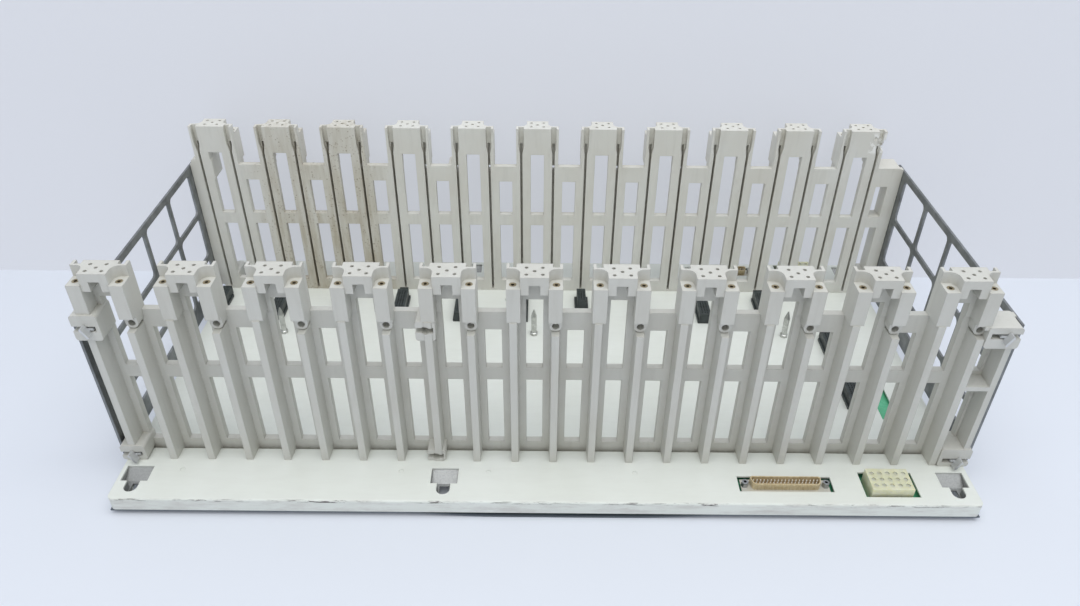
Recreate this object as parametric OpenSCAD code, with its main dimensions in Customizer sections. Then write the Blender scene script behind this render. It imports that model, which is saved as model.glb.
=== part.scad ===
// Eleven-slot card cage lying on its back.
// A folded sheet tray carries the backplane, two moulded card-guide combs stand on it,
// and punched side panels hold the combs together with twisted lugs.
// X runs along the row of slots, Y from the front comb to the rear comb, Z up from the back cover.

/* [Slots] */
// Distance from one slot to the next
slot_pitch = 60.96; // [50:0.01:80]
// Distance from the tray's left end to the middle of the first slot
left_margin = 22.06; // [20:0.01:30]
// Distance from the middle of the last slot to the tray's right end
right_margin = 39.94; // [38:0.01:60]

/* [Tray] */
// Height of the tray's lip
tray_lip = 12.1; // [11.5:0.1:20]
// Thickness of the tray's sheet
tray_t = 1.5; // [1:0.1:2]
// Drop of the tray's floor below its front and rear flanges
floor_drop = 4.5; // [3:0.1:5.5]
// Radius of the tray's corners
corner_r = 4; // [2:0.5:8]
// Radius of the bend along the tray's top edges
bend_r = 1.6; // [0.8:0.1:3]
// Distance from the tray's front edge to the front comb's ribs
front_flange = 42.2; // [40:0.1:60]
// Distance from the rear comb's ribs to the tray's rear edge
rear_flange = 26.7; // [25:0.1:45]

/* [Back cover] */
// Thickness of the back cover
cover_t = 1.2; // [0.8:0.1:1.6]
// How far the middle of the back cover bows away from the tray
cover_bow = 3.7; // [2.5:0.1:6]

/* [Combs] */
// Clear depth between the two combs' inner faces
card_depth = 230.1; // [200:0.1:340]
// Depth of a comb from its inner face to its ribs' outer faces
rib_reach = 20.5; // [18:0.1:24]
// Thickness of a comb's wall
wall_t = 5.5; // [4:0.1:6]
// Thickness of the wall in the heads
wing_t = 6.7; // [6:0.1:8]
// Height of a comb's wall between the heads
wall_h = 138; // [130:1:145]
// Height of a comb's heads
head_h = 176.4; // [170:0.1:200]
// Width of a rib at the wall
rib_root_w = 7.6; // [6:0.1:9]
// Width of a rib at its outer face
rib_face_w = 5.5; // [4.5:0.1:6]
// Width of the windows between the ribs
window_w = 12.6; // [8:0.1:14]
// Width of the groove that guides a card
groove_w = 2.2; // [1.6:0.1:2.6]
// Depth of the groove that guides a card
groove_d = 9; // [7:0.1:10]
// Width of the groove's lead-in at the head's top
lead_in_w = 4.8; // [3:0.1:6]

/* [Head details] */
// Distance of the inserts from the comb's inner face
insert_v = 13.37; // [12:0.01:14.5]
// Outer diameter of a threaded insert
insert_od = 5.2; // [4.5:0.1:6]
// Thread core diameter of an insert
insert_id = 2.5; // [2:0.1:3]
// Length of an insert
insert_len = 8; // [5:0.5:12]
// Height of the pads that hold the inserts
pad_h = 167.5; // [165:0.1:168.5]
// Width of a head's leg
leg_w = 10; // [9.5:0.1:11]
// Diameter of the five holes in a head's top
vent_d = 2.6; // [2:0.1:3]
// Diameter of the cross hole in a head's right leg
cross_hole_d = 5.2; // [4:0.1:6]

/* [Side panels] */
// Thickness of the side panels
panel_t = 2; // [1.5:0.1:2.5]
// Height of the side panels above the tray's flanges
panel_h = 136.5; // [134:0.5:142]
// Width of the bars between the side panels' windows
panel_bar = 5; // [4:0.1:8]

/* [Backplane] */
// Gap between the tray's floor and the backplane board
board_gap = 2; // [1.5:0.1:2.2]
// Thickness of the backplane board
board_t = 1.6; // [1.2:0.1:2]
// Height of the slot connectors above the tray's floor
connector_h = 11; // [8:0.1:14]

/* [Hidden] */
$fn = 32;
eps = 0.01;

// Running clearance round a screw or an insert, and between neighbouring pieces
fit = 0.05;
gap = 0.3;

// Overall places
slot_count = 11;
tray_w = (slot_count - 1) * slot_pitch + left_margin + right_margin;
tray_d = front_flange + 2 * rib_reach + card_depth + rear_flange;
end_x = tray_w / 2;
flange_z = tray_lip + cover_t + cover_bow;
floor_z = flange_z - floor_drop;
lip_z = flange_z - tray_lip;
board_top_z = floor_z - tray_t - board_gap;
y_front = -tray_d / 2;
y_rear = tray_d / 2;
y_front_comb = y_front + front_flange + rib_reach;
y_rear_comb = y_front_comb + card_depth;
y_mid = (y_front_comb + y_rear_comb) / 2;
step_v = 8.3;
y_floor_front = y_front_comb - step_v;
y_floor_rear = y_rear_comb + step_v;
bay = slot_pitch / 2;
rib_count = 2 * slot_count;
function head_x(k) = -end_x + left_margin + (k - 1) * slot_pitch;
function rib_x(n) = head_x(1) - bay / 2 + (n - 1) * bay;
function bay_x(n) = rib_x(n) + bay / 2;

// Comb places: v runs outward from a comb's inner face, heights start at the flanges' top
head_half = bay / 2 + 4.61;
boss_end_x = end_x + 3;
wall_end_x = end_x + 4.4;
low_window = [8.3, 74];
short_window = [86, 122.2];
tall_window = [86, 150.3];
block_w = 20.2;
block_v = 18.3;
block_z = 161.6;
notch_w = 7.9;
notch_z = 169.6;
block_fillet = 5.5;
vent_v = 9.73;
vent_dx = 5.71;
vent_dv = 4.41;
vent_depth = 9;
leg_v = 19.7;
leg_z = 138.7;
ledge_z = 127.6;
cross_z = 132.7;
cross_v = 15.2;
cross_boss_r = 4.6;
groove_foot = 2;
lead_in_len = 25;
lead_in_taper = 7;
shallow_groove_d = 4.7;
deep_groove_z = 160;
boss_reach = rib_reach + 1;
boss_slot_h = 4.4;
boss_r = 2.5;
top_lug_z = 131.4;
foot_lug_z = 6.4;
end_wall_t = 4.6;
shelf_t = 3;
mid_web = [79, 83];
spare_boss_w = 14.5;
spare_boss_dx = -2;
spare_rib = 9;
end_window_w = 11.2;
end_window_x = rib_x(2 * slot_count) + 12.4;
end_low_window = [18, 74.5];
end_short_window = [86.5, 119.5];
comb_screw_v = 14.2;
comb_screw_d = 3;
comb_screw_len = 12;
comb_screw_ribs = [3, 7, 11, 14, 18, 21];

// Side panel places
panel_x = wall_end_x + gap;
panel_reach = 14;
panel_front_y = y_front_comb - panel_reach;
panel_rear_y = y_rear_comb + panel_reach;
panel_drop = 3;
panel_rows = [[15, 36.8], [41.8, 83.7], [88.7, 130.3]];
panel_columns = 4;
panel_end_bar = 22.4;
panel_window_r = 4.5;
lug_w = 9;
lug_t = 1.8;
lug_inset = 8;
lug_end = 6;
lug_twist = 62;

// Tray openings
keyhole_x = [-end_x + 13.85, -end_x + 256.45, end_x - 14.7];
keyhole_w = 21.1;
keyhole_front = 18.66;
keyhole_back = 34.28;
keyhole_slot_w = 10.5;
keyhole_slot_front = 7.47;
rear_keyhole_shift = tray_d - 39.8;
rear_socket_shift = tray_d - 36.4;
cup_t = 1;
cup_depth = 6.5;
cup_rim = 4;
cup_side_rim = 1.5;
signal_cut_w = 73.6;
signal_cut_d = 15.5;
signal_from_end = 147.6;
signal_from_edge = 20.75;
power_cut_w = 42.2;
power_cut_d = 25.5;
power_from_end = 66.4;
power_from_edge = 21.05;
mark_x = [-end_x + 48, -end_x + 221.7, -end_x + 290.8, end_x - 264.5];
mark_from_edge = 31;
mark_d = 4;
mark_depth = 0.4;
return_w = 9;
bow_from = [-end_x + 222.8, -end_x + 300.8];
bow_to = [end_x - 278.8, end_x - 185.8];

// Backplane places
board_edge_gap = 2.2;
board_front_gap = 5;
connector_dx = -bay / 2;
connector_len = 40.5;
short_connector_len = 18.5;
connector_from_comb = 15.8;
long_connector_len = 98.7;
long_connector_dx = -24.4;
long_connector_dy = -16.1;
short_slot = 7;
tongue_len = 6;
base_w = 13.6;
base_h = 3;
body_w = 11;
tongue_w = 8.7;
tail_w = 8;
contact_pitch = 2.54;
contact_hole = 1.3;
contact_depth = 6;
spare_cut_w = 13.9;
spare_cut_len = 46;
spare_cut_from_end = 37.25;
spare_cut_dy = -54.75;
pin_slots = [2, 6, 10];
pin_dx = -2.1;
pin_from_comb = 75.8;
pin_d = 5.3;
pin_collar_d = 7;
pin_shank_d = 3.6;
pin_shoulder = 21.8;
pin_tip = 29.2;
spacer_slots = [2, 5, 8, 10];
spacer_inset = 20;
spacer_d = 6;
screw_d = 3;

// Socket places, heights from the top of the tray's flanges
signal_plate = [69.3, 12.5];
signal_plate_z = -3;
signal_rim = [55.4, 52.6];
signal_rim_d = 8.4;
signal_rim_h = 6.4;
signal_rim_t = 0.7;
signal_pitch = 2.77;
signal_row_gap = 2.84;
signal_rows = [19, 18];
signal_pin_d = 1;
signal_pin_h = 5;
jack_gap = 63.5;
jack_af = 5;
jack_h = 4.6;
jack_hole_d = 2.4;
power_size = [32.4, 22];
power_top = 6.3;
power_dx = -0.6;
power_rows = [5, 3];
power_pitch = 6.2;
power_hole_d = 3.2;
power_hole_depth = 10;
power_pin_d = 1.6;

// ---- Small helpers ----

// A box given by its ranges along x, outward from the comb's inner face, and up
module slab(x, v, z) {
    translate([x[0], -v[1], z[0]])
        cube([x[1] - x[0], v[1] - v[0], z[1] - z[0]]);
}

// A front-view outline made solid from one depth to another
module elevation(v0, v1) {
    translate([0, -v0, 0])
        rotate([90, 0, 0])
            linear_extrude(v1 - v0)
                children();
}

// A side-view outline made solid over a width along x
module side_profile(x0, x1) {
    translate([x0, 0, 0])
        rotate([90, 0, 90])
            linear_extrude(x1 - x0)
                children();
}

// A rectangle with round corners, given by its two ranges
module round_box(x, y, r) {
    w = x[1] - x[0];
    h = y[1] - y[0];
    translate([x[0], y[0]]) {
        translate([r, 0])
            square([w - 2 * r, h]);
        translate([0, r])
            square([w, h - 2 * r]);
        for (i = [r, w - r], j = [r, h - r])
            translate([i, j])
                circle(r);
    }
}

// A screw standing head down, its head's top face at the origin
module pan_screw(d, length, head_d, head_t) {
    cylinder(h = length, d = d);
    translate([0, 0, -head_t])
        cylinder(h = head_t, d = head_d);
}

// ---- Tray ----

// Outline of a keyhole, y from the tray's edge
module keyhole_outline(grow = 0) {
    r = keyhole_slot_w / 2;
    translate([-keyhole_w / 2 - grow, keyhole_front - grow])
        square([keyhole_w + 2 * grow, keyhole_back - keyhole_front + 2 * grow]);
    translate([0, keyhole_slot_front + r])
        circle(r + grow);
    translate([-r - grow, keyhole_slot_front + r])
        square([keyhole_slot_w + 2 * grow, keyhole_front - keyhole_slot_front - r]);
}

module at_keyholes(shift) {
    for (x = keyhole_x)
        translate([x, y_front + shift, 0])
            children();
}

// Tray sheet in side view: lips, flanges, joggles and sunken floor
module tray_profile() {
    r = bend_r;
    difference() {
        translate([0, lip_z]) {
            translate([y_front, 0])
                square([tray_d, tray_lip - r]);
            translate([y_front + r, 0])
                square([tray_d - 2 * r, tray_lip]);
            for (y = [y_front + r, y_rear - r])
                translate([y, tray_lip - r])
                    circle(r);
        }
        translate([y_floor_front, floor_z])
            square([y_floor_rear - y_floor_front, floor_drop + 1]);
    }
}

// The space under the tray's sheet
module tray_hollow() {
    x = end_x - tray_t;
    side_profile(-x, x) {
        translate([y_front + tray_t, lip_z + tray_t])
            square([tray_d - 2 * tray_t, floor_z - lip_z - 2 * tray_t]);
        translate([y_front + tray_t, lip_z + tray_t])
            square([y_floor_front - y_front - 2 * tray_t, tray_lip - 2 * tray_t]);
        translate([y_floor_rear + tray_t, lip_z + tray_t])
            square([y_rear - y_floor_rear - 2 * tray_t, tray_lip - 2 * tray_t]);
    }
    inner = end_x - return_w;
    side_profile(-inner, inner)
        translate([y_front + tray_t, lip_z - 1])
            square([tray_d - 2 * tray_t, 2 * tray_t + 1]);
}

module at_cover_screws() {
    for (x = [-1, 1] * (end_x - return_w / 2), y = [y_front_comb, y_mid, y_rear_comb])
        translate([x, y, 0])
            children();
}

module at_comb_screws() {
    for (n = comb_screw_ribs)
        translate([rib_x(n), -comb_screw_v, 0])
            children();
}

module at_pins() {
    for (k = pin_slots)
        translate([head_x(k) + pin_dx, y_rear_comb - pin_from_comb, 0])
            children();
}

module at_signal(shift) {
    translate([end_x - signal_from_end, y_front + signal_from_edge + shift, 0])
        children();
}

module at_power(shift) {
    translate([end_x - power_from_end, y_front + power_from_edge + shift, 0])
        children();
}

// Everything cut through the tray's sheet
module tray_openings() {
    translate([0, 0, lip_z]) {
        for (shift = [0, rear_keyhole_shift])
            at_keyholes(shift)
                translate([0, 0, tray_lip / 2])
                    linear_extrude(tray_lip)
                        keyhole_outline();
        for (shift = [0, rear_socket_shift]) {
            at_signal(shift)
                linear_extrude(2 * tray_lip)
                    square([signal_cut_w, signal_cut_d], center = true);
            at_power(shift)
                linear_extrude(2 * tray_lip)
                    square([power_cut_w, power_cut_d], center = true);
        }
        for (k = [1:slot_count])
            connector_place(k)
                linear_extrude(2 * tray_lip)
                    square([tail_w + 2 * gap, tail_length(k) + 2 * gap], center = true);
        translate([end_x - spare_cut_from_end, y_mid + spare_cut_dy, 0])
            linear_extrude(2 * tray_lip)
                square([spare_cut_w, spare_cut_len], center = true);
        at_pins()
            cylinder(h = 2 * tray_lip, d = pin_shank_d + 2 * fit);
        translate([bay_x(10), y_rear_comb - 18, 0])
            cylinder(h = 2 * tray_lip, d = 4);
        at_cover_screws()
            translate([0, 0, -1])
                cylinder(h = tray_t + 2, d = screw_d + 2 * fit);
        translate([0, y_front_comb, 0])
            at_comb_screws()
                cylinder(h = 2 * tray_lip, d = comb_screw_d + 2 * fit);
        translate([0, y_rear_comb, 0])
            mirror([0, 1, 0])
                at_comb_screws()
                    cylinder(h = 2 * tray_lip, d = comb_screw_d + 2 * fit);
    }
    for (x = mark_x)
        translate([x, y_front + mark_from_edge, flange_z - mark_depth])
            cylinder(h = 1, d = mark_d);
}

module base_tray() {
    color("#dae0da")
        difference() {
            intersection() {
                side_profile(-end_x, end_x)
                    tray_profile();
                translate([0, 0, lip_z])
                    linear_extrude(tray_lip)
                        round_box([-end_x, end_x], [y_front, y_rear], corner_r);
            }
            tray_hollow();
            tray_openings();
        }
}

// ---- Back cover ----

// Bow of the cover at x: nothing at its ends, full in the middle
function ramp(x, a, b) = x <= a ? 0 : x >= b ? 1 : (1 - cos(180 * (x - a) / (b - a))) / 2;
function bow(x) = cover_bow * ramp(x, bow_from[0], bow_from[1]) * (1 - ramp(x, bow_to[0], bow_to[1]));
bow_steps = 12;
bow_x = concat([-end_x],
    [for (i = [0:bow_steps]) bow_from[0] + i * (bow_from[1] - bow_from[0]) / bow_steps],
    [for (i = [0:bow_steps]) bow_to[0] + i * (bow_to[1] - bow_to[0]) / bow_steps],
    [end_x]);

module back_cover() {
    top = [for (x = bow_x) [x, lip_z - bow(x)]];
    under = [for (i = [len(bow_x) - 1:-1:0]) [bow_x[i], lip_z - bow(bow_x[i]) - cover_t]];
    color("#5f6870")
        difference() {
            translate([0, y_rear, 0])
                elevation(0, tray_d)
                    polygon(concat(top, under));
            for (shift = [0, rear_keyhole_shift])
                at_keyholes(shift)
                    translate([0, 0, -1])
                        linear_extrude(lip_z + 2)
                            keyhole_outline(1);
            at_cover_screws()
                cylinder(h = lip_z + 1, d = screw_d + 4 * fit);
        }
}

module cover_screws() {
    color("#8b8f92")
        at_cover_screws()
            translate([0, 0, lip_z - cover_t])
                pan_screw(screw_d, cover_t + tray_t + 0.5, 5.6, 1.8);
}

// ---- Combs ----

function rib_half(v) = (rib_root_w + (rib_face_w - rib_root_w) * v / rib_reach) / 2;

// Plan of a rib from the comb's inner face out to a depth
module rib_plan(v) {
    polygon([[-rib_root_w / 2, 0], [rib_root_w / 2, 0], [rib_half(v), -v], [-rib_half(v), -v]]);
}

module rib(top) {
    foot_v = step_v - gap;
    translate([0, 0, -floor_drop])
        linear_extrude(floor_drop + eps)
            rib_plan(foot_v);
    linear_extrude(top)
        rib_plan(rib_reach);
}

module window(x, z, w = window_w) {
    translate([x - w / 2, z[0]])
        square([w, z[1] - z[0]]);
}

// Wall between and behind the ribs, with its windows
module comb_wall() {
    elevation(0, wall_t)
        difference() {
            union() {
                translate([-end_x, -floor_drop])
                    square([2 * end_x, wall_h]);
                translate([-wall_end_x, 0])
                    square([2 * wall_end_x, wall_h]);
                for (k = [1:slot_count])
                    translate([head_x(k) - head_half, wall_h - eps])
                        square([2 * head_half, head_h - wall_h + eps]);
            }
            for (n = [1:rib_count - 1])
                window(bay_x(n), low_window);
            for (k = [1:slot_count - 1])
                window(head_x(k) + bay, short_window);
            for (k = [1:slot_count])
                window(head_x(k), tall_window);
            window(end_window_x, end_low_window, end_window_w);
            window(end_window_x, end_short_window, end_window_w);
        }
}

// Top of one head in plan: wing plate, central block and the fillets between them
module head_plan() {
    half = block_w / 2;
    r = block_fillet;
    translate([-head_half, -wing_t])
        square([2 * head_half, wing_t]);
    translate([-half, -block_v])
        square([block_w, block_v]);
    for (side = [0, 1])
        mirror([side, 0])
            difference() {
                translate([half - eps, -wing_t - r])
                    square([r, r + eps]);
                translate([half + r, -wing_t - r])
                    circle(r);
            }
}

// One head above its two legs
module head() {
    elevation(0, wing_t)
        difference() {
            translate([-head_half, wall_h - eps])
                square([2 * head_half, pad_h - wall_h + 2 * eps]);
            window(0, tall_window);
        }
    difference() {
        translate([0, 0, pad_h])
            linear_extrude(head_h - pad_h)
                head_plan();
        slab([-notch_w / 2, notch_w / 2], [wing_t, block_v + 1], [pad_h - 1, notch_z]);
    }
    difference() {
        slab([-block_w / 2, block_w / 2], [wing_t - eps, block_v], [block_z, pad_h + eps]);
        slab([-notch_w / 2, notch_w / 2], [wing_t, block_v + 1], [block_z - 1, pad_h + 1]);
    }
    for (side = [0, 1])
        mirror([side, 0, 0])
            slab([head_half - leg_w, head_half], [0, leg_v], [leg_z, pad_h]);
}

// Round-bottomed boss with a cross hole under a head's right leg
module cross_boss() {
    elevation(0, cross_v) {
        translate([0, cross_z])
            circle(cross_boss_r);
        translate([-cross_boss_r, cross_z])
            square([2 * cross_boss_r, leg_z - cross_z + eps]);
    }
}

// Lug boss in front view
module lug_boss(x, z) {
    elevation(0, boss_reach)
        round_box(x, z, boss_r);
}

// Slot behind which the wall stays closed, open at the comb's end
module lug_slot(x, z) {
    slab(x, [wall_t, boss_reach + 1], [z - boss_slot_h / 2, z + boss_slot_h / 2]);
}

// Closed bay at the comb's right end
module end_bay() {
    x = [rib_x(rib_count), end_x];
    slab([end_x - end_wall_t, end_x], [0, rib_reach], [0, wall_h + 1]);
    slab([end_x - end_wall_t, end_x], [0, step_v - gap], [-floor_drop, eps]);
    slab(x, [0, rib_reach], [wall_h + 1 - shelf_t, wall_h + 1]);
    slab(x, [0, rib_reach], mid_web);
}

// Unused lug boss on a left leg, with a slot opening to its left
module spare_boss(z) {
    elevation(0, leg_v)
        round_box([-spare_boss_w / 2, spare_boss_w / 2], z, boss_r);
}

module spare_slot(z) {
    elevation(wing_t, leg_v + 1) {
        translate([-spare_boss_w / 2 - 1, z - boss_slot_h / 2])
            square([spare_boss_w - 0.5, boss_slot_h]);
        translate([0, z])
            circle(3.4);
    }
}

// Groove in the comb's inner face that a card's edge slides in, with its lead-in
module card_groove() {
    half = groove_w / 2;
    lead = lead_in_w / 2;
    lead_z = head_h - lead_in_len;
    slab([-half, half], [-1, groove_d], [groove_foot - floor_drop, deep_groove_z]);
    slab([-half, half], [-1, shallow_groove_d], [deep_groove_z - 1, head_h + 1]);
    elevation(-1, shallow_groove_d)
        polygon([[-half, lead_z], [half, lead_z], [lead, lead_z + lead_in_taper],
            [lead, head_h + 1], [-lead, head_h + 1], [-lead, lead_z + lead_in_taper]]);
}

module head_holes() {
    for (dx = [-1, 1], dv = [-1, 1])
        translate([dx * vent_dx, -vent_v + dv * vent_dv, head_h - vent_depth])
            cylinder(h = vent_depth + 1, d = vent_d);
    translate([0, -vent_v, head_h - vent_depth])
        cylinder(h = vent_depth + 1, d = vent_d);
    for (dx = [-bay / 2, bay / 2])
        translate([dx, -insert_v, pad_h - insert_len])
            cylinder(h = insert_len + 1, d = insert_od + 2 * fit);
    translate([bay / 2, 1 - groove_d, cross_z])
        rotate([90, 0, 0])
            cylinder(h = rib_reach, d = cross_hole_d);
}

// One comb, its inner face on y = 0 and its ribs towards -y
module comb() {
    left_boss = [-boss_end_x, rib_x(1) + 10];
    right_boss = [rib_x(rib_count) + 3, boss_end_x];
    difference() {
        union() {
            comb_wall();
            for (k = [1:slot_count]) {
                translate([rib_x(2 * k - 1), 0, 0])
                    rib(leg_z + eps);
                translate([rib_x(2 * k), 0, 0]) {
                    rib(ledge_z);
                    cross_boss();
                }
                translate([head_x(k), 0, 0])
                    head();
            }
            end_bay();
            lug_boss(left_boss, [121, 143]);
            lug_boss(left_boss, [0, 15]);
            lug_boss(right_boss, [120.5, wall_h + 1]);
            lug_boss(right_boss, [0, 18.4]);
            translate([rib_x(spare_rib) + spare_boss_dx, 0, 0]) {
                spare_boss([122, 138.9]);
                spare_boss([0, 11]);
            }
        }
        for (n = [1:rib_count])
            translate([rib_x(n), 0, 0])
                card_groove();
        for (k = [1:slot_count])
            translate([head_x(k), 0, 0])
                head_holes();
        for (z = [top_lug_z, foot_lug_z]) {
            lug_slot([left_boss[0] - 1, left_boss[1] - 3], z);
            lug_slot([right_boss[0] + 3, right_boss[1] + 1], z);
        }
        translate([rib_x(spare_rib) + spare_boss_dx, 0, 0]) {
            spare_slot(top_lug_z);
            spare_slot(5);
        }
        at_comb_screws()
            translate([0, 0, -1])
                cylinder(h = comb_screw_len + 1, d = comb_screw_d + 2 * fit);
    }
}

module front_place() {
    translate([0, y_front_comb, flange_z])
        children();
}

module rear_place() {
    translate([0, y_rear_comb, flange_z])
        mirror([0, 1, 0])
            children();
}

module front_comb() {
    color("#bebeb7")
        front_place()
            comb();
}

// Broken corner of the last rear head's right leg
module broken_corner() {
    translate([head_x(slot_count) + head_half, 0, head_h - 15.5]) {
        rotate([0, 38, 20])
            cube([6, 14, 6], center = true);
        translate([0, 1, 5])
            rotate([25, 15, 40])
                cube([5, 7, 5], center = true);
        translate([-9, 1, 8])
            rotate([30, 20, 45])
                cube([5, 3, 3.4], center = true);
    }
}

module rear_comb() {
    color("#bebeb7")
        rear_place()
            difference() {
                comb();
                broken_corner();
            }
}

module comb_screws() {
    color("#8b8f92")
        at_comb_screws()
            translate([0, 0, -tray_t])
                pan_screw(comb_screw_d, comb_screw_len, 5.6, 1.8);
}

module front_comb_screws() {
    front_place()
        comb_screws();
}

module rear_comb_screws() {
    rear_place()
        comb_screws();
}

// Threaded inserts of one comb
module inserts() {
    color("#a88a4a")
        for (n = [1:rib_count])
            translate([rib_x(n), -insert_v, pad_h - insert_len])
                difference() {
                    cylinder(h = insert_len, d = insert_od);
                    translate([0, 0, 1])
                        cylinder(h = insert_len, d = insert_id);
                }
}

module front_inserts() {
    front_place()
        inserts();
}

module rear_inserts() {
    rear_place()
        inserts();
}

// ---- Side panels ----

module panel_windows() {
    y0 = panel_front_y + panel_end_bar;
    y1 = panel_rear_y - panel_end_bar;
    w = (y1 - y0 - (panel_columns - 1) * panel_bar) / panel_columns;
    for (i = [0:panel_columns - 1], row = panel_rows) {
        y = y0 + i * (w + panel_bar);
        round_box([y, y + w], row, panel_window_r);
    }
}

module panel_outline() {
    difference() {
        translate([panel_front_y, -panel_drop])
            square([panel_rear_y - panel_front_y, panel_h + panel_drop]);
        panel_windows();
    }
}

// Lug bent in from the panel's edge, lying in the boss's slot, its end twisted
module lug() {
    reach = boss_reach + gap;
    root = wall_t + gap;
    translate([-eps, -panel_reach, -lug_t / 2])
        cube([lug_inset + lug_w + eps, panel_reach - root, lug_t]);
    translate([lug_inset, -reach, -lug_t / 2])
        cube([lug_w, reach - root, lug_t]);
    translate([lug_inset + lug_w / 2, -reach + eps, 0])
        rotate([90, 0, 0]) {
            cylinder(h = lug_end, d = lug_t);
            rotate([0, 0, -lug_twist])
                translate([-lug_w / 2, -lug_t / 2, 0])
                    cube([lug_w, lug_t, lug_end]);
        }
}

module panel_lugs() {
    for (z = [top_lug_z, foot_lug_z]) {
        translate([-panel_x, y_front_comb, z])
            lug();
        translate([-panel_x, y_rear_comb, z])
            mirror([0, 1, 0])
                lug();
    }
}

module side_panel() {
    color("#6b6d6f")
        translate([0, 0, flange_z]) {
            side_profile(-panel_x - panel_t, -panel_x)
                panel_outline();
            panel_lugs();
        }
}

module left_side_panel() {
    side_panel();
}

module right_side_panel() {
    mirror([1, 0, 0])
        side_panel();
}

// ---- Backplane ----

module at_spacers() {
    for (k = spacer_slots, y = [y_floor_front + spacer_inset, y_floor_rear - spacer_inset])
        translate([head_x(k), y, 0])
            children();
}

module backplane_board() {
    x = end_x - board_edge_gap;
    y = [y_front + board_front_gap, y_rear - board_front_gap];
    notch = keyhole_w + 2 * cup_side_rim + 4;
    notch_len = keyhole_back + cup_rim + 2;
    color("#3c8c64")
        translate([0, 0, board_top_z - board_t])
            difference() {
                linear_extrude(board_t)
                    difference() {
                        translate([-x, y[0]])
                            square([2 * x, y[1] - y[0]]);
                        for (x = keyhole_x, shift = [0, rear_keyhole_shift])
                            translate([x - notch / 2, y_front + shift])
                                square([notch, notch_len]);
                    }
                at_spacers()
                    translate([0, 0, -1])
                        cylinder(h = board_t + 2, d = screw_d + 2 * fit);
            }
}

module board_spacers() {
    color("#b9bcbe")
        at_spacers()
            translate([0, 0, board_top_z])
                difference() {
                    cylinder(h = board_gap, d = spacer_d);
                    translate([0, 0, -1])
                        cylinder(h = board_gap + 2, d = screw_d + 2 * fit);
                }
}

module board_screws() {
    color("#8b8f92")
        at_spacers()
            translate([0, 0, board_top_z - board_t])
                pan_screw(screw_d, board_t + board_gap, 5.6, 1.6);
}

function body_length(k) = k == slot_count ? long_connector_len
    : k == short_slot ? short_connector_len : connector_len;
function tail_length(k) = body_length(k) - 6;
function connector_x(k) = head_x(k) + (k == slot_count ? long_connector_dx : connector_dx);
function connector_y(k) = k == slot_count ? y_mid + long_connector_dy
    : y_rear_comb - connector_from_comb - body_length(k) / 2;

module connector_place(k) {
    translate([connector_x(k), connector_y(k), 0])
        children();
}

// Card-edge connector: flanged foot, body with three rows of contact holes, keying tongue behind
module connector(k) {
    len = body_length(k);
    w = k == short_slot ? tongue_w : body_w;
    holes = floor((len - 3) / contact_pitch);
    color("#3a4242")
        connector_place(k)
            translate([0, 0, floor_z])
                difference() {
                    union() {
                        translate([-base_w / 2, -len / 2, 0])
                            cube([base_w, len, base_h]);
                        translate([-w / 2, -len / 2, 0])
                            cube([w, len, connector_h]);
                        translate([-tongue_w / 2, 0, 0])
                            cube([tongue_w, len / 2 + tongue_len, connector_h - 2]);
                        translate([-tail_w / 2, -tail_length(k) / 2, -tray_t - board_gap])
                            cube([tail_w, tail_length(k), tray_t + board_gap + eps]);
                    }
                    for (i = [0:holes - 1], row = [-1, 0, 1])
                        translate([row * contact_pitch - contact_hole / 2,
                            (i - (holes - 1) / 2) * contact_pitch - contact_hole / 2,
                            connector_h - contact_depth])
                            cube([contact_hole, contact_hole, contact_depth + 1]);
                }
}

// Turned pins that locate the card modules
module locating_pins() {
    color("#c9cbc8")
        at_pins()
            translate([0, 0, floor_z])
                rotate_extrude()
                    polygon([[0, -tray_t], [pin_shank_d / 2, -tray_t], [pin_shank_d / 2, 0],
                        [pin_collar_d / 2, 0], [pin_collar_d / 2, 2.5], [pin_d / 2, 3],
                        [pin_d / 2, pin_shoulder], [0.6, pin_tip], [0, pin_tip]]);
}

// ---- Keyhole cups ----

// Wedge under the cup's sloping rear wall
module cup_slope(t) {
    side_profile(-keyhole_w, keyhole_w)
        polygon([[keyhole_back + t, -tray_t - t], [keyhole_back + t + 2, -tray_t - t],
            [keyhole_back + t + 2, -cup_depth - 4], [keyhole_back - 10, -cup_depth - 4],
            [keyhole_back - 10, -tray_t - cup_depth + cup_t - t]]);
}

module keyhole_cup() {
    bottom = -tray_t - cup_depth;
    difference() {
        union() {
            translate([0, 0, -tray_t - cup_t])
                linear_extrude(cup_t)
                    translate([-keyhole_w / 2 - cup_side_rim, keyhole_slot_front - cup_rim + 1])
                        square([keyhole_w + 2 * cup_side_rim,
                            keyhole_back - keyhole_slot_front + 2 * cup_rim - 1]);
            difference() {
                translate([0, 0, bottom])
                    linear_extrude(cup_depth)
                        keyhole_outline(cup_t);
                cup_slope(cup_t);
            }
        }
        difference() {
            translate([0, 0, bottom + cup_t])
                linear_extrude(cup_depth)
                    keyhole_outline();
            cup_slope(0);
        }
        translate([0, 0, bottom - 1])
            linear_extrude(cup_depth) {
                translate([0, keyhole_slot_front + keyhole_slot_w / 2])
                    circle(d = keyhole_slot_w - 3);
                translate([-keyhole_slot_w / 2 + 1.5, keyhole_slot_front + keyhole_slot_w / 2])
                    square([keyhole_slot_w - 3, keyhole_front - keyhole_slot_front - 2]);
            }
    }
}

module front_keyhole_cups() {
    color("#8f9294")
        translate([0, 0, flange_z])
            at_keyholes(0)
                keyhole_cup();
}

module rear_keyhole_cups() {
    color("#8f9294")
        translate([0, 0, flange_z])
            at_keyholes(rear_keyhole_shift)
                keyhole_cup();
}

// ---- Signal sockets ----

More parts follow.
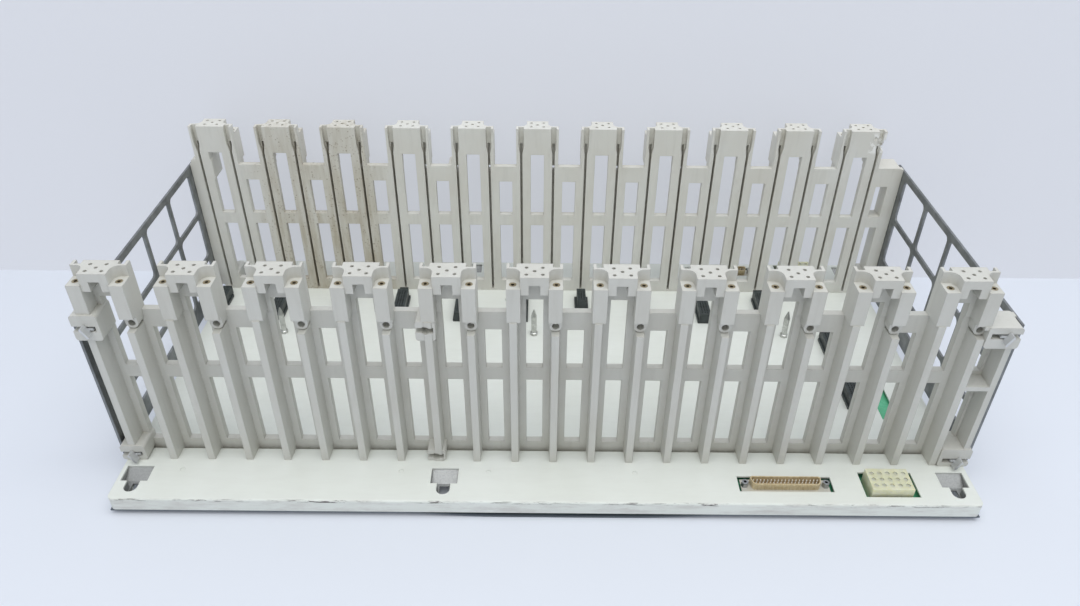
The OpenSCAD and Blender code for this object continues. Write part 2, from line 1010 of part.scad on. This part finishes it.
// D-shaped outline, longer side towards +y
module d_outline(grow = 0) {
    a = signal_rim[0] / 2 + grow;
    b = signal_rim[1] / 2 + grow;
    h = signal_rim_d / 2 + grow;
    c = 1.4;
    polygon([[-b + c, -h], [b - c, -h], [b, -h + c], [a, h - c], [a - c, h],
        [-a + c, h], [-a, h - c], [-b, -h + c]]);
}

module at_jackscrews() {
    for (x = [-jack_gap / 2, jack_gap / 2])
        translate([x, 0, 0])
            children();
}

module at_signal_pins() {
    for (row = [0, 1], i = [0:signal_rows[row] - 1])
        translate([(i - (signal_rows[row] - 1) / 2) * signal_pitch, (0.5 - row) * signal_row_gap, 0])
            children();
}

module signal_shell() {
    color("#b0a070")
        difference() {
            union() {
                translate([-signal_plate[0] / 2, -signal_plate[1] / 2, signal_plate_z])
                    cube([signal_plate[0], signal_plate[1], 1]);
                translate([0, 0, signal_plate_z])
                    linear_extrude(signal_rim_h + 1)
                        d_outline();
            }
            translate([0, 0, signal_plate_z - 1])
                linear_extrude(signal_rim_h + 3)
                    d_outline(-signal_rim_t);
            at_jackscrews()
                translate([0, 0, signal_plate_z - 1])
                    cylinder(h = 3, d = 3.1);
        }
}

module signal_insulator() {
    foot = board_top_z - flange_z;
    color("#22262a")
        difference() {
            union() {
                translate([0, 0, foot])
                    linear_extrude(signal_plate_z - foot)
                        d_outline(1);
                translate([0, 0, signal_plate_z - eps])
                    linear_extrude(1.5)
                        d_outline(-signal_rim_t - fit);
            }
            at_signal_pins()
                translate([0, 0, foot - 1])
                    cylinder(h = 12, d = signal_pin_d + 2 * fit);
        }
}

module signal_pins() {
    foot = board_top_z - flange_z;
    color("#d8d2c0")
        at_signal_pins()
            translate([0, 0, foot]) {
                cylinder(h = signal_plate_z + 1.5 + signal_pin_h - foot - 0.5, d = signal_pin_d);
                translate([0, 0, signal_plate_z + 1 + signal_pin_h - foot])
                    cylinder(h = 0.5, d1 = signal_pin_d, d2 = 0.5, $fn = 16);
            }
}

// Hexagonal posts that hold the shell and take the plug's screws
module jackscrews() {
    foot = board_top_z - flange_z;
    color("#a8abad")
        at_jackscrews()
            difference() {
                union() {
                    translate([0, 0, signal_plate_z + 1])
                        cylinder(h = jack_h, d = jack_af / cos(30), $fn = 6);
                    translate([0, 0, foot])
                        cylinder(h = signal_plate_z + 1 - foot + eps, d = 3);
                }
                translate([0, 0, signal_plate_z + 1])
                    cylinder(h = jack_h + 1, d = jack_hole_d);
            }
}

module front_socket_place() {
    translate([0, 0, flange_z])
        at_signal(0)
            children();
}

module rear_socket_place() {
    translate([0, 0, flange_z])
        at_signal(rear_socket_shift)
            children();
}

module front_signal_shell() {
    front_socket_place()
        signal_shell();
}

module front_signal_insulator() {
    front_socket_place()
        signal_insulator();
}

module front_signal_pins() {
    front_socket_place()
        signal_pins();
}

module front_jackscrews() {
    front_socket_place()
        jackscrews();
}

module rear_signal_shell() {
    rear_socket_place()
        signal_shell();
}

module rear_signal_insulator() {
    rear_socket_place()
        signal_insulator();
}

module rear_signal_pins() {
    rear_socket_place()
        signal_pins();
}

module rear_jackscrews() {
    rear_socket_place()
        jackscrews();
}

// ---- Power sockets ----

module at_power_pins() {
    for (i = [0:power_rows[0] - 1], j = [0:power_rows[1] - 1])
        translate([(i - (power_rows[0] - 1) / 2) * power_pitch,
            (j - (power_rows[1] - 1) / 2) * power_pitch, 0])
            children();
}

module power_housing() {
    foot = board_top_z - flange_z;
    color("#c8c8a5")
        difference() {
            translate([-power_size[0] / 2, -power_size[1] / 2, foot])
                cube([power_size[0], power_size[1], power_top - foot]);
            at_power_pins() {
                translate([0, 0, power_top - power_hole_depth])
                    cylinder(h = power_hole_depth + 1, d = power_hole_d);
                translate([0, 0, foot - 1])
                    cylinder(h = power_top - foot, d = power_pin_d + 2 * fit);
            }
        }
}

module power_pins() {
    foot = board_top_z - flange_z;
    color("#c9b27a")
        at_power_pins()
            translate([0, 0, foot])
                cylinder(h = power_top - 2.5 - foot, d = power_pin_d);
}

module front_power_place() {
    translate([power_dx, 0, flange_z])
        at_power(0)
            children();
}

module rear_power_place() {
    translate([power_dx, 0, flange_z])
        at_power(rear_socket_shift)
            children();
}

module front_power_housing() {
    front_power_place()
        power_housing();
}

module front_power_pins() {
    front_power_place()
        power_pins();
}

module rear_power_housing() {
    rear_power_place()
        power_housing();
}

module rear_power_pins() {
    rear_power_place()
        power_pins();
}

module slot_01_connector() { connector(1); }
module slot_02_connector() { connector(2); }
module slot_03_connector() { connector(3); }
module slot_04_connector() { connector(4); }
module slot_05_connector() { connector(5); }
module slot_06_connector() { connector(6); }
module slot_07_connector() { connector(7); }
module slot_08_connector() { connector(8); }
module slot_09_connector() { connector(9); }
module slot_10_connector() { connector(10); }
module slot_11_connector() { connector(11); }

base_tray();
back_cover();
cover_screws();
backplane_board();
board_spacers();
board_screws();
front_comb();
rear_comb();
front_comb_screws();
rear_comb_screws();
left_side_panel();
right_side_panel();
front_inserts();
rear_inserts();
slot_01_connector();
slot_02_connector();
slot_03_connector();
slot_04_connector();
slot_05_connector();
slot_06_connector();
slot_07_connector();
slot_08_connector();
slot_09_connector();
slot_10_connector();
slot_11_connector();
locating_pins();
front_keyhole_cups();
rear_keyhole_cups();
front_signal_shell();
front_signal_insulator();
front_signal_pins();
front_jackscrews();
rear_signal_shell();
rear_signal_insulator();
rear_signal_pins();
rear_jackscrews();
front_power_housing();
front_power_pins();
rear_power_housing();
rear_power_pins();
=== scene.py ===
# %% [markdown]
# # An empty card cage
#
# The real object is a housing for plug-in circuit modules, lying on its back: a painted sheet tray with a
# backplane in its floor, two moulded combs that guide the cards, and a punched steel panel at each end.
# The construction is already exact, so this script loads it as a fixed frame and spends its effort on what
# the eye reads: paint, moulded plastic, plating, green laminate, moulded sockets, grime, wear and painted shade in
# hollows.

import math
import random

import bmesh
import bpy
from mathutils import Matrix, Vector


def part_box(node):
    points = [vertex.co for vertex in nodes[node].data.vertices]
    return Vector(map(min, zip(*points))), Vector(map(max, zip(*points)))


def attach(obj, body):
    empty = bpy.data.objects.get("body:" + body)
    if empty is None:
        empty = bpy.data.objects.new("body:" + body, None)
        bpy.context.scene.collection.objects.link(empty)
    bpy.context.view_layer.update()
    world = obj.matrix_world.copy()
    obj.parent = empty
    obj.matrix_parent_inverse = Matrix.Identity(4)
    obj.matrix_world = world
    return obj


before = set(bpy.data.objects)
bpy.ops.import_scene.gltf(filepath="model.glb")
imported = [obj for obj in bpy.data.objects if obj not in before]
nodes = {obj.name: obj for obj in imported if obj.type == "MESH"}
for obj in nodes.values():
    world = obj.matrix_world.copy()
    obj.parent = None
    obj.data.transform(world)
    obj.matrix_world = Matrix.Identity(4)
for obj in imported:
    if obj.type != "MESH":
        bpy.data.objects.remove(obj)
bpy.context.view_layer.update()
MM = 0.001
random.seed(11)

# %% [markdown]
# ## The camera
#
# A photograph is the picture of one eye, so the lens comes before anything is judged. A wide lens
# stands close in front, a little above the heads, and looks down about 35 degrees. The camera could be turned
# with Euler angles, but three axes written out as a matrix show plainly which way it looks.

# %% Camera
CAMERA_AT = Vector((-4.39, -604.84, 513.02)) * MM
PITCH = math.radians(35.403)
YAW = math.radians(-0.082)
ROLL = math.radians(0.428)
LENS_MM = 28.0


def camera_axes():
    forward = Vector((math.sin(YAW) * math.cos(PITCH), math.cos(YAW) * math.cos(PITCH), -math.sin(PITCH)))
    level = Vector((math.cos(YAW), -math.sin(YAW), 0))
    upright = level.cross(forward)
    right = level * math.cos(ROLL) + upright * math.sin(ROLL)
    up = upright * math.cos(ROLL) - level * math.sin(ROLL)
    return right, up, forward


right, up, forward = camera_axes()
lens = bpy.data.cameras.new("camera")
lens.lens = LENS_MM
lens.sensor_width = 36
lens.clip_start = 0.01
camera = bpy.data.objects.new("camera", lens)
camera.matrix_world = Matrix.Translation(CAMERA_AT) @ Matrix((right, up, -forward)).transposed().to_4x4()
bpy.context.scene.collection.objects.link(camera)
bpy.context.scene.camera = camera
print("camera looks along", [round(c, 3) for c in forward])

# %% [markdown]
# ## One way to build every material
#
# A finish is a graph of small nodes. One function adds a node, sets its sockets and properties, and links what
# feeds it, so each finish below reads as a list of what happens to the surface. Colours are written as the
# hex values that a colour picker gives, and one function turns them to the linear values that light uses.

# %% Colour and node helpers


def linear(hex_colour):
    channels = [int(hex_colour[i:i + 2], 16) / 255 for i in (1, 3, 5)]
    return [c / 12.92 if c <= 0.04045 else ((c + 0.055) / 1.055) ** 2.4 for c in channels] + [1]


def add(tree, kind, inputs=None, **settings):
    """Adds a node; an input is a value, or (node, socket) to link from."""
    node = tree.nodes.new("ShaderNode" + kind)
    for name, value in settings.items():
        setattr(node, name, value)
    for name, value in (inputs or {}).items():
        if isinstance(value, tuple) and isinstance(value[0], bpy.types.Node):
            tree.links.new(value[0].outputs[value[1]], node.inputs[name])
        elif isinstance(value, str):
            node.inputs[name].default_value = linear(value)
        else:
            node.inputs[name].default_value = value
    return node


def new_material(name, **surface):
    """A material with a Principled shader, its coordinates in metres on the object."""
    material = bpy.data.materials.new(name)
    material.use_nodes = True
    tree = material.node_tree
    tree.nodes.clear()
    place = add(tree, "TexCoord")
    shader = add(tree, "BsdfPrincipled", surface)
    out = add(tree, "OutputMaterial", {"Surface": (shader, "BSDF")})
    return material, tree, (place, "Object"), shader, out


def noise(tree, place, size_mm, detail=3.0, roughness=0.55, distortion=0.0):
    """Noise whose blotches are about size_mm across."""
    return add(tree, "TexNoise", {"Vector": place, "Scale": 1 / (size_mm * MM), "Detail": detail,
                                  "Roughness": roughness, "Distortion": distortion})


def ramp(tree, source, low, high, low_to=0.0, high_to=1.0):
    """Stretches a value between two levels, held at both ends."""
    return add(tree, "MapRange", {0: source, 1: low, 2: high, 3: low_to, 4: high_to})


def blend(tree, factor, first, second, mode="MIX"):
    """Mixes two colours by a factor."""
    node = tree.nodes.new("ShaderNodeMix")
    node.data_type = "RGBA"
    node.blend_type = mode
    for socket, value in ((0, factor), (6, first), (7, second)):
        if isinstance(value, tuple):
            tree.links.new(value[0].outputs[value[1]], node.inputs[socket])
        else:
            node.inputs[socket].default_value = linear(value) if isinstance(value, str) else value
    return node


def multiply(tree, first, second):
    """Product of two values."""
    return add(tree, "Math", {0: first, 1: second}, operation="MULTIPLY")


def band(tree, value, low, high, soft):
    """1 between two levels, fading to 0 within soft of either."""
    rise = ramp(tree, value, low - soft, low)
    fall = ramp(tree, value, high, high + soft, 1.0, 0.0)
    return multiply(tree, (rise, 0), (fall, 0))


def stretched(tree, place, scale):
    """Coordinates squeezed along each axis, so that noise on them is drawn out."""
    return add(tree, "Mapping", {"Vector": place, "Scale": scale})


def bump(tree, height, strength, depth_mm, normal=None):
    inputs = {"Height": height, "Strength": strength, "Distance": depth_mm * MM}
    if normal:
        inputs["Normal"] = normal
    return add(tree, "Bump", inputs)


def dress(node_names, material):
    """Gives CAD nodes a finish."""
    for name in node_names:
        mesh = nodes[name].data
        mesh.materials.clear()
        mesh.materials.append(material)
    print(material.name, "on", len(node_names), "nodes")


def shader_of(material):
    return next(n for n in material.node_tree.nodes if n.type == "BSDF_PRINCIPLED")


print("helpers ready")

# %% [markdown]
# ## Moulded combs
#
# The combs are a glass-filled polycarbonate, moulded in a warm light grey. Such a plastic has a fine matt
# grain from the mould's spark-eroded surface and goes slightly yellow with age. The grooves, the sides of the
# ribs and their feet get a patchy brown-grey painted shade. Soft edges come from a bevel read by the shader,
# because the moulding's edges have a radius of only a few tenths of a millimetre.

# %% Comb material


STAINED_FROM = -0.262
STAINED_TO = -0.175
STAIN_FADE = 0.03
BROKEN_X = (0.303, 0.317)
BROKEN_Z = (0.173, 0.19)


def moulded_polycarbonate(name, light, dark, stained):
    material, tree, place, shader, out = new_material(name, Roughness=0.5, IOR=1.58)
    patches = noise(tree, place, 60, detail=4)
    aged = blend(tree, (ramp(tree, (patches, "Fac"), 0.35, 0.7), 0), light, dark)
    colour = (aged, 2)
    # Painted shade in grooves and inner corners, where the occlusion finds hollows, broken into patches by fine
    # noise
    fine = noise(tree, place, 7, detail=5, roughness=0.65)
    hollow = add(tree, "AmbientOcclusion", {"Distance": 9 * MM}, samples=6)
    deep = ramp(tree, (hollow, "AO"), 0.62, 0.25)
    patchy = multiply(tree, (deep, 0), (ramp(tree, (fine, "Fac"), 0.36, 0.6), 0))
    patchy_hollow_shade = blend(tree, (multiply(tree, (patchy, 0), 0.35), 0), colour, "#968E7A")
    colour = (patchy_hollow_shade, 2)
    # Runs of dirt down the uprights, long along the height and narrow across
    streaks = noise(tree, (stretched(tree, place, (1, 1, 0.12)), 0), 5, detail=4)
    smear = multiply(tree, (ramp(tree, (streaks, "Fac"), 0.5, 0.72), 0), 0.12)
    streaky = blend(tree, (smear, 0), colour, "#98958A")
    colour = (streaky, 2)
    if stained:
        # Splashed brown stains over two slots
        axes = add(tree, "SeparateXYZ", {"Vector": place})
        where = band(tree, (axes, 0), STAINED_FROM, STAINED_TO, STAIN_FADE)
        low = ramp(tree, (axes, 2), 0.16, 0.05, 0.5, 1.0)
        tint = multiply(tree, (where, 0), (ramp(tree, (streaks, "Fac"), 0.3, 0.7, 0.15, 0.7), 0))
        tinted = blend(tree, (multiply(tree, (tint, 0), (low, 0)), 0), colour, "#A39574")
        spots = add(tree, "TexVoronoi", {"Vector": place, "Scale": 1 / (2.6 * MM), "Randomness": 1.0})
        dots = multiply(tree, (ramp(tree, (spots, "Distance"), 0.34, 0.2), 0), (where, 0))
        few = multiply(tree, (dots, 0), (ramp(tree, (fine, "Fac"), 0.45, 0.6), 0))
        spotted = blend(tree, (multiply(tree, (few, 0), 0.6), 0), (tinted, 2), "#7A6548")
        # White fracture where the last head's corner broke off
        broken = multiply(tree, (band(tree, (axes, 0), *BROKEN_X, 0.002), 0), (band(tree, (axes, 2), *BROKEN_Z, 0.003), 0))
        crazed = multiply(tree, (broken, 0), (ramp(tree, (fine, "Fac"), 0.48, 0.54), 0))
        whitened = blend(tree, (multiply(tree, (crazed, 0), 0.85), 0), (spotted, 2), "#F6F6F2")
        colour = (whitened, 2)
    tree.links.new(colour[0].outputs[colour[1]], shader.inputs["Base Color"])
    edge = add(tree, "Bevel", {"Radius": 0.6 * MM}, samples=4)
    grain = noise(tree, place, 0.9, detail=2)
    skin = bump(tree, (grain, "Fac"), 0.12, 0.2, (edge, "Normal"))
    tree.links.new(skin.outputs[0], shader.inputs["Normal"])
    return material


# Both combs are the same plastic. The rear comb is given lighter colours than the front one as painted light,
# standing in for light on its inner faces; only it carries the stains.
dress(["front_comb"], moulded_polycarbonate("moulded_polycarbonate", "#CCCCC5", "#C6C5BC", False))
dress(["rear_comb"], moulded_polycarbonate("stained_polycarbonate_painted_lighter", "#DDDDD6", "#D6D4CA", True))

# %% [markdown]
# ## Painted tray
#
# The tray is steel sheet in a baked enamel, a cooler and slightly greener grey than the combs. Baked enamel
# is smooth with a faint orange peel, and its edges are scuffed through to dark primer where the tray has been
# slid about.

# %% Tray material


LIP_FRONT = -0.1685
BEND_LOW = 0.0147
BEND_HIGH = 0.0166


def baked_enamel():
    material, tree, place, shader, out = new_material("baked_enamel", Roughness=0.38, IOR=1.5)
    patches = noise(tree, place, 80, detail=4)
    coat = blend(tree, (ramp(tree, (patches, "Fac"), 0.3, 0.7), 0), "#E6EAE4", "#DFE3DB")
    colour = (coat, 2)
    # A grey film of handling on the lip and here and there on top
    rubbed = noise(tree, (stretched(tree, place, (0.2, 1, 1)), 0), 6, detail=6, roughness=0.7)
    axes = add(tree, "SeparateXYZ", {"Vector": place})
    at_front = ramp(tree, (axes, 1), LIP_FRONT, LIP_FRONT - 0.0008)
    amount = ramp(tree, (at_front, 0), 0, 1, 0.06, 0.5)
    film = multiply(tree, (ramp(tree, (rubbed, "Fac"), 0.46, 0.72), 0), (amount, 0))
    dull = blend(tree, (film, 0), colour, "#B3ABA6")
    colour = (dull, 2)
    # Black scuffs in short dashes along the front bend
    on_bend = band(tree, (axes, 2), BEND_LOW, BEND_HIGH, 0.0004)
    dashes = noise(tree, (stretched(tree, place, (0.12, 1, 1)), 0), 1.5, detail=5, roughness=0.7)
    here = multiply(tree, (at_front, 0), (on_bend, 0))
    far = noise(tree, (stretched(tree, place, (1, 0, 0)), 0), 70, detail=2)
    cut = multiply(tree, (ramp(tree, (dashes, "Fac"), 0.52, 0.58), 0), (ramp(tree, (far, "Fac"), 0.42, 0.56), 0))
    scuffed = blend(tree, (multiply(tree, (here, 0), (cut, 0)), 0), colour, "#55504C")
    colour = (scuffed, 2)
    # Painted shade: the tray darkens to brown-grey in its inside corners, where the occlusion finds hollows.
    hollow = add(tree, "AmbientOcclusion", {"Distance": 6 * MM}, samples=4)
    corner = ramp(tree, (hollow, "AO"), 0.7, 0.35, 0.0, 0.3)
    corner_shaded = blend(tree, (corner, 0), colour, "#8F8A7C")
    tree.links.new(corner_shaded.outputs[2], shader.inputs["Base Color"])
    edge = add(tree, "Bevel", {"Radius": 0.5 * MM}, samples=4)
    peel = noise(tree, place, 1.6, detail=1)
    skin = bump(tree, (peel, "Fac"), 0.06, 0.2, (edge, "Normal"))
    tree.links.new(skin.outputs[0], shader.inputs["Normal"])
    return material


tray_enamel = baked_enamel()
dress(["base_tray"], tray_enamel)

# %% [markdown]
# ## Plain finishes
#
# The smaller pieces take finishes that differ in three things: colour, how metallic they are and how rough.
# One recipe with a gentle mottling serves them, and each call says what the real surface is.

# %% Small parts' materials


HOLLOW_SHADE_COLOUR = "#3B3833"


def plain_finish(name, light, dark, metallic=0.0, roughness=0.5, mottle_mm=12, edge_mm=0.2, ior=1.5, hollow_shade=0.3):
    surface = {"Metallic": metallic, "Roughness": roughness}
    if not metallic:
        surface["IOR"] = ior
    material, tree, place, shader, out = new_material(name, **surface)
    mottle = noise(tree, place, mottle_mm, detail=4)
    colour = blend(tree, (ramp(tree, (mottle, "Fac"), 0.35, 0.65), 0), light, dark)
    # Painted shade: each finish darkens towards near-black brown in its hollows, as strongly as the last argument
    # asks; brass and the keyhole cups take the most.
    hollow = add(tree, "AmbientOcclusion", {"Distance": 4 * MM}, samples=4)
    shaded_in_hollows = blend(tree, (ramp(tree, (hollow, "AO"), 0.7, 0.25, 0.0, hollow_shade), 0), (colour, 2), HOLLOW_SHADE_COLOUR)
    tree.links.new(shaded_in_hollows.outputs[2], shader.inputs["Base Color"])
    wear = ramp(tree, (mottle, "Fac"), 0.3, 0.7, max(roughness - 0.08, 0.02), roughness + 0.08)
    tree.links.new(wear.outputs[0], shader.inputs["Roughness"])
    edge = add(tree, "Bevel", {"Radius": edge_mm * MM}, samples=4)
    tree.links.new(edge.outputs[0], shader.inputs["Normal"])
    return material


# The back cover's dark slate matches the dark strip under the front lip; it is partly the cover's paint and partly
# painted shadow for the gap there.
slate_cover_and_shadow = plain_finish("slate_cover_and_shadow", "#5F6870", "#565E66", roughness=0.55, mottle_mm=40)
passivated_steel = plain_finish("passivated_steel", "#8E9192", "#76797A", metallic=0.6, roughness=0.5, mottle_mm=14)
zinc_plate = plain_finish("zinc_plate", "#C4C7C8", "#A9ACAE", metallic=1, roughness=0.32, mottle_mm=3)
solder_mask = plain_finish("solder_mask", "#66C096", "#54AC80", roughness=0.3, mottle_mm=20)
brass = plain_finish("brass", "#B5A88C", "#8A7E66", metallic=0.6, roughness=0.4, mottle_mm=2, hollow_shade=0.8)
slate_phenolic = plain_finish("slate_phenolic", "#394141", "#2C3232", roughness=0.45, mottle_mm=6)
turned_steel = plain_finish("turned_steel", "#CDCECB", "#B5B6B2", metallic=1, roughness=0.3, mottle_mm=4)
pressed_steel = plain_finish("pressed_steel", "#A3A5A4", "#969897", metallic=0.45, roughness=0.4, mottle_mm=1.2, hollow_shade=0.85)
chromate = plain_finish("chromate", "#E4D4B0", "#D2BE94", metallic=0.3, roughness=0.42, mottle_mm=3)
tan_phenolic = plain_finish("tan_phenolic", "#A98F68", "#967C58", roughness=0.5, mottle_mm=3)
tin_plate = plain_finish("tin_plate", "#FBF8EE", "#F0EBDC", metallic=0.1, roughness=0.3, mottle_mm=2)
ivory_nylon = plain_finish("ivory_nylon", "#DFDFC4", "#D5D5B4", roughness=0.4, mottle_mm=9, ior=1.53)
nylon_shader = shader_of(ivory_nylon)
nylon_shader.inputs["Subsurface Weight"].default_value = 0.7
nylon_shader.inputs["Subsurface Radius"].default_value = (1.0, 0.9, 0.6)
nylon_shader.inputs["Subsurface Scale"].default_value = 4 * MM

dress(["back_cover"], slate_cover_and_shadow)
dress(["left_side_panel", "right_side_panel"], passivated_steel)
dress(["cover_screws", "board_screws", "board_spacers", "front_comb_screws", "rear_comb_screws",
       "front_jackscrews", "rear_jackscrews"], zinc_plate)
dress(["backplane_board"], solder_mask)
dress(["front_inserts", "rear_inserts"], brass)
dress([f"slot_{k:02d}_connector" for k in range(1, 12)], slate_phenolic)
dress(["locating_pins"], turned_steel)
dress(["front_keyhole_cups", "rear_keyhole_cups"], pressed_steel)
dress(["front_signal_shell", "rear_signal_shell"], chromate)
dress(["front_signal_insulator", "rear_signal_insulator"], tan_phenolic)
dress(["front_signal_pins", "rear_signal_pins", "front_power_pins", "rear_power_pins"], tin_plate)
dress(["front_power_housing", "rear_power_housing"], ivory_nylon)

# %% [markdown]
# ## Bright lugs on dull panels
#
# The side panels' lugs were twisted after the sheet was finished, which rubbed them bright. They belong to the
# same piece, so the panels' own finish changes with the distance from the middle of the cage. The socket
# shells' mounting plates are plain tin below the gilded rim, and change with height in the same way.

# %% Lugs and plates
LUG_X = 0.3375
PLATE_TOP = 0.0152


def overpaint(material, axis, level, soft, hex_colour):
    """Gives a finish another colour where a coordinate, its sign left out, is below a level."""
    tree = material.node_tree
    shader = shader_of(material)
    place = next(n for n in tree.nodes if n.type == "TEX_COORD")
    axes = add(tree, "SeparateXYZ", {"Vector": (place, "Object")})
    aside = add(tree, "Math", {0: (axes, axis)}, operation="ABSOLUTE")
    inside = ramp(tree, (aside, 0), level, level - soft)
    old = shader.inputs["Base Color"].links[0].from_node
    painted = blend(tree, (inside, 0), (old, 2), hex_colour)
    tree.links.new(painted.outputs[2], shader.inputs["Base Color"])


overpaint(passivated_steel, 0, LUG_X, 0.0005, "#D4D6D6")
overpaint(chromate, 2, PLATE_TOP, 0.0002, "#CFCDC2")

# %% [markdown]
# ## Ribs on the socket shells
#
# A D-shaped shell carries a row of pressed ribs on each long side, which grip the plug. They are too fine for
# the construction, so they are made here: short upright half rounds, one for every contact.

# %% Shell ribs
RIB_PITCH = 2.77 * MM
RIB_COUNT = 17
RIB_R = 0.55 * MM
RIB_TALL = 4.6 * MM
RIM_HALF = 4.2 * MM


def small_rounds(piece_name, places, radius, top_radius, tall, material):
    """One piece made of many short round studs, each centred on its place."""
    bm = bmesh.new()
    for at in places:
        bmesh.ops.create_cone(bm, cap_ends=True, segments=12, radius1=radius, radius2=top_radius,
                              depth=tall, matrix=Matrix.Translation(at))
    mesh = bpy.data.meshes.new(piece_name)
    bm.to_mesh(mesh)
    bm.free()
    mesh.materials.append(material)
    piece = bpy.data.objects.new(piece_name, mesh)
    bpy.context.scene.collection.objects.link(piece)
    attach(piece, "root")
    print(piece_name, len(places), "studs")


def middle_top(node):
    low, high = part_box(node)
    return (low[0] + high[0]) / 2, (low[1] + high[1]) / 2, high[2]


for end in ("front", "rear"):
    x, y, top = middle_top(f"{end}_signal_shell")
    rib_places = [Vector((x + (i - (RIB_COUNT - 1) / 2) * RIB_PITCH, y + side * RIM_HALF, top - RIB_TALL * 0.63))
                  for side in (-1, 1) for i in range(RIB_COUNT)]
    small_rounds(f"{end}_signal_shell_ribs", rib_places, RIB_R, RIB_R * 0.7, RIB_TALL, chromate)

# %% [markdown]
# ## Films in the power sockets
#
# The nylon sockets' cavities are closed by a thin moulded film a little below the face, which reads as faint
# dimples rather than dark holes.

# %% Socket films
CAVITY_PITCH = 6.2 * MM
CAVITY_R = 1.58 * MM
FILM_DROP = 0.6 * MM
FILM_T = 0.4 * MM

for end in ("front", "rear"):
    x, y, top = middle_top(f"{end}_power_housing")
    film_places = [Vector((x + i * CAVITY_PITCH, y + j * CAVITY_PITCH, top - FILM_DROP - FILM_T / 2))
                   for i in range(-2, 3) for j in range(-1, 2)]
    small_rounds(f"{end}_power_films", film_places, CAVITY_R, CAVITY_R, FILM_T, ivory_nylon)

# %% [markdown]
# ## Floor, wall and light
#
# The cage stands on a plain white table close to a plain wall. The light is soft and comes mostly from above,
# so upward faces are nearly white and upright ones about a quarter darker. The backdrop is two plain planes:
# a floor, and a wall standing on it behind the object.

# %% Backdrop


def backdrop_material(name, colour, glow):
    """A plain matt surface that also glows a little, as a big bright room lights it from every side."""
    material = bpy.data.materials.new(name)
    material.use_nodes = True
    tree = material.node_tree
    tree.nodes.clear()
    matt = add(tree, "BsdfDiffuse", {"Color": colour})
    lit = add(tree, "Emission", {"Color": colour, "Strength": 0.78})
    both = add(tree, "MixShader", {0: glow, 1: (matt, "BSDF"), 2: (lit, "Emission")})
    add(tree, "OutputMaterial", {"Surface": (both, "Shader")})
    return material


def plane(name, corners, material):
    mesh = bpy.data.meshes.new(name)
    mesh.from_pydata([[c * MM for c in corner] for corner in corners], [], [(0, 1, 2, 3)])
    mesh.materials.append(material)
    thing = bpy.data.objects.new(name, mesh)
    bpy.context.scene.collection.objects.link(thing)
    return thing


WALL_Y = 172
table = plane("table", [(-3000, -2500, 0), (3000, -2500, 0), (3000, WALL_Y + 60, 0), (-3000, WALL_Y + 60, 0)],
              backdrop_material("table_white", "#E1E6EE", 0.1))
wall = plane("wall", [(-3000, WALL_Y, 0), (3000, WALL_Y, 0), (3000, WALL_Y, 2500), (-3000, WALL_Y, 2500)],
             backdrop_material("wall_white", "#EEF2FB", 0.6))

# %% Lights


def area_light(name, at, aim, size, power, colour="#FFFFFF"):
    data = bpy.data.lights.new(name, "AREA")
    data.shape = "RECTANGLE"
    data.size, data.size_y = size
    data.energy = power
    data.color = linear(colour)[:3]
    lamp = bpy.data.objects.new(name, data)
    lamp.location = at
    lamp.rotation_euler = (Vector(aim) - Vector(at)).to_track_quat("-Z", "Y").to_euler()
    bpy.context.scene.collection.objects.link(lamp)
    return lamp


area_light("ceiling", (0.3, -0.25, 1.9), (0.05, 0, 0), (2.8, 1.8), 38)
area_light("front_fill", (-0.4, -2.2, 1.2), (0, 0, 0.1), (2.4, 1.4), 5)
world = bpy.data.worlds.new("room")
bpy.context.scene.world = world
world.use_nodes = True
sky = world.node_tree.nodes["Background"]
sky.inputs["Color"].default_value = linear("#EEF2FA")
sky.inputs["Strength"].default_value = 0.48
bpy.context.scene.view_settings.view_transform = "Standard"
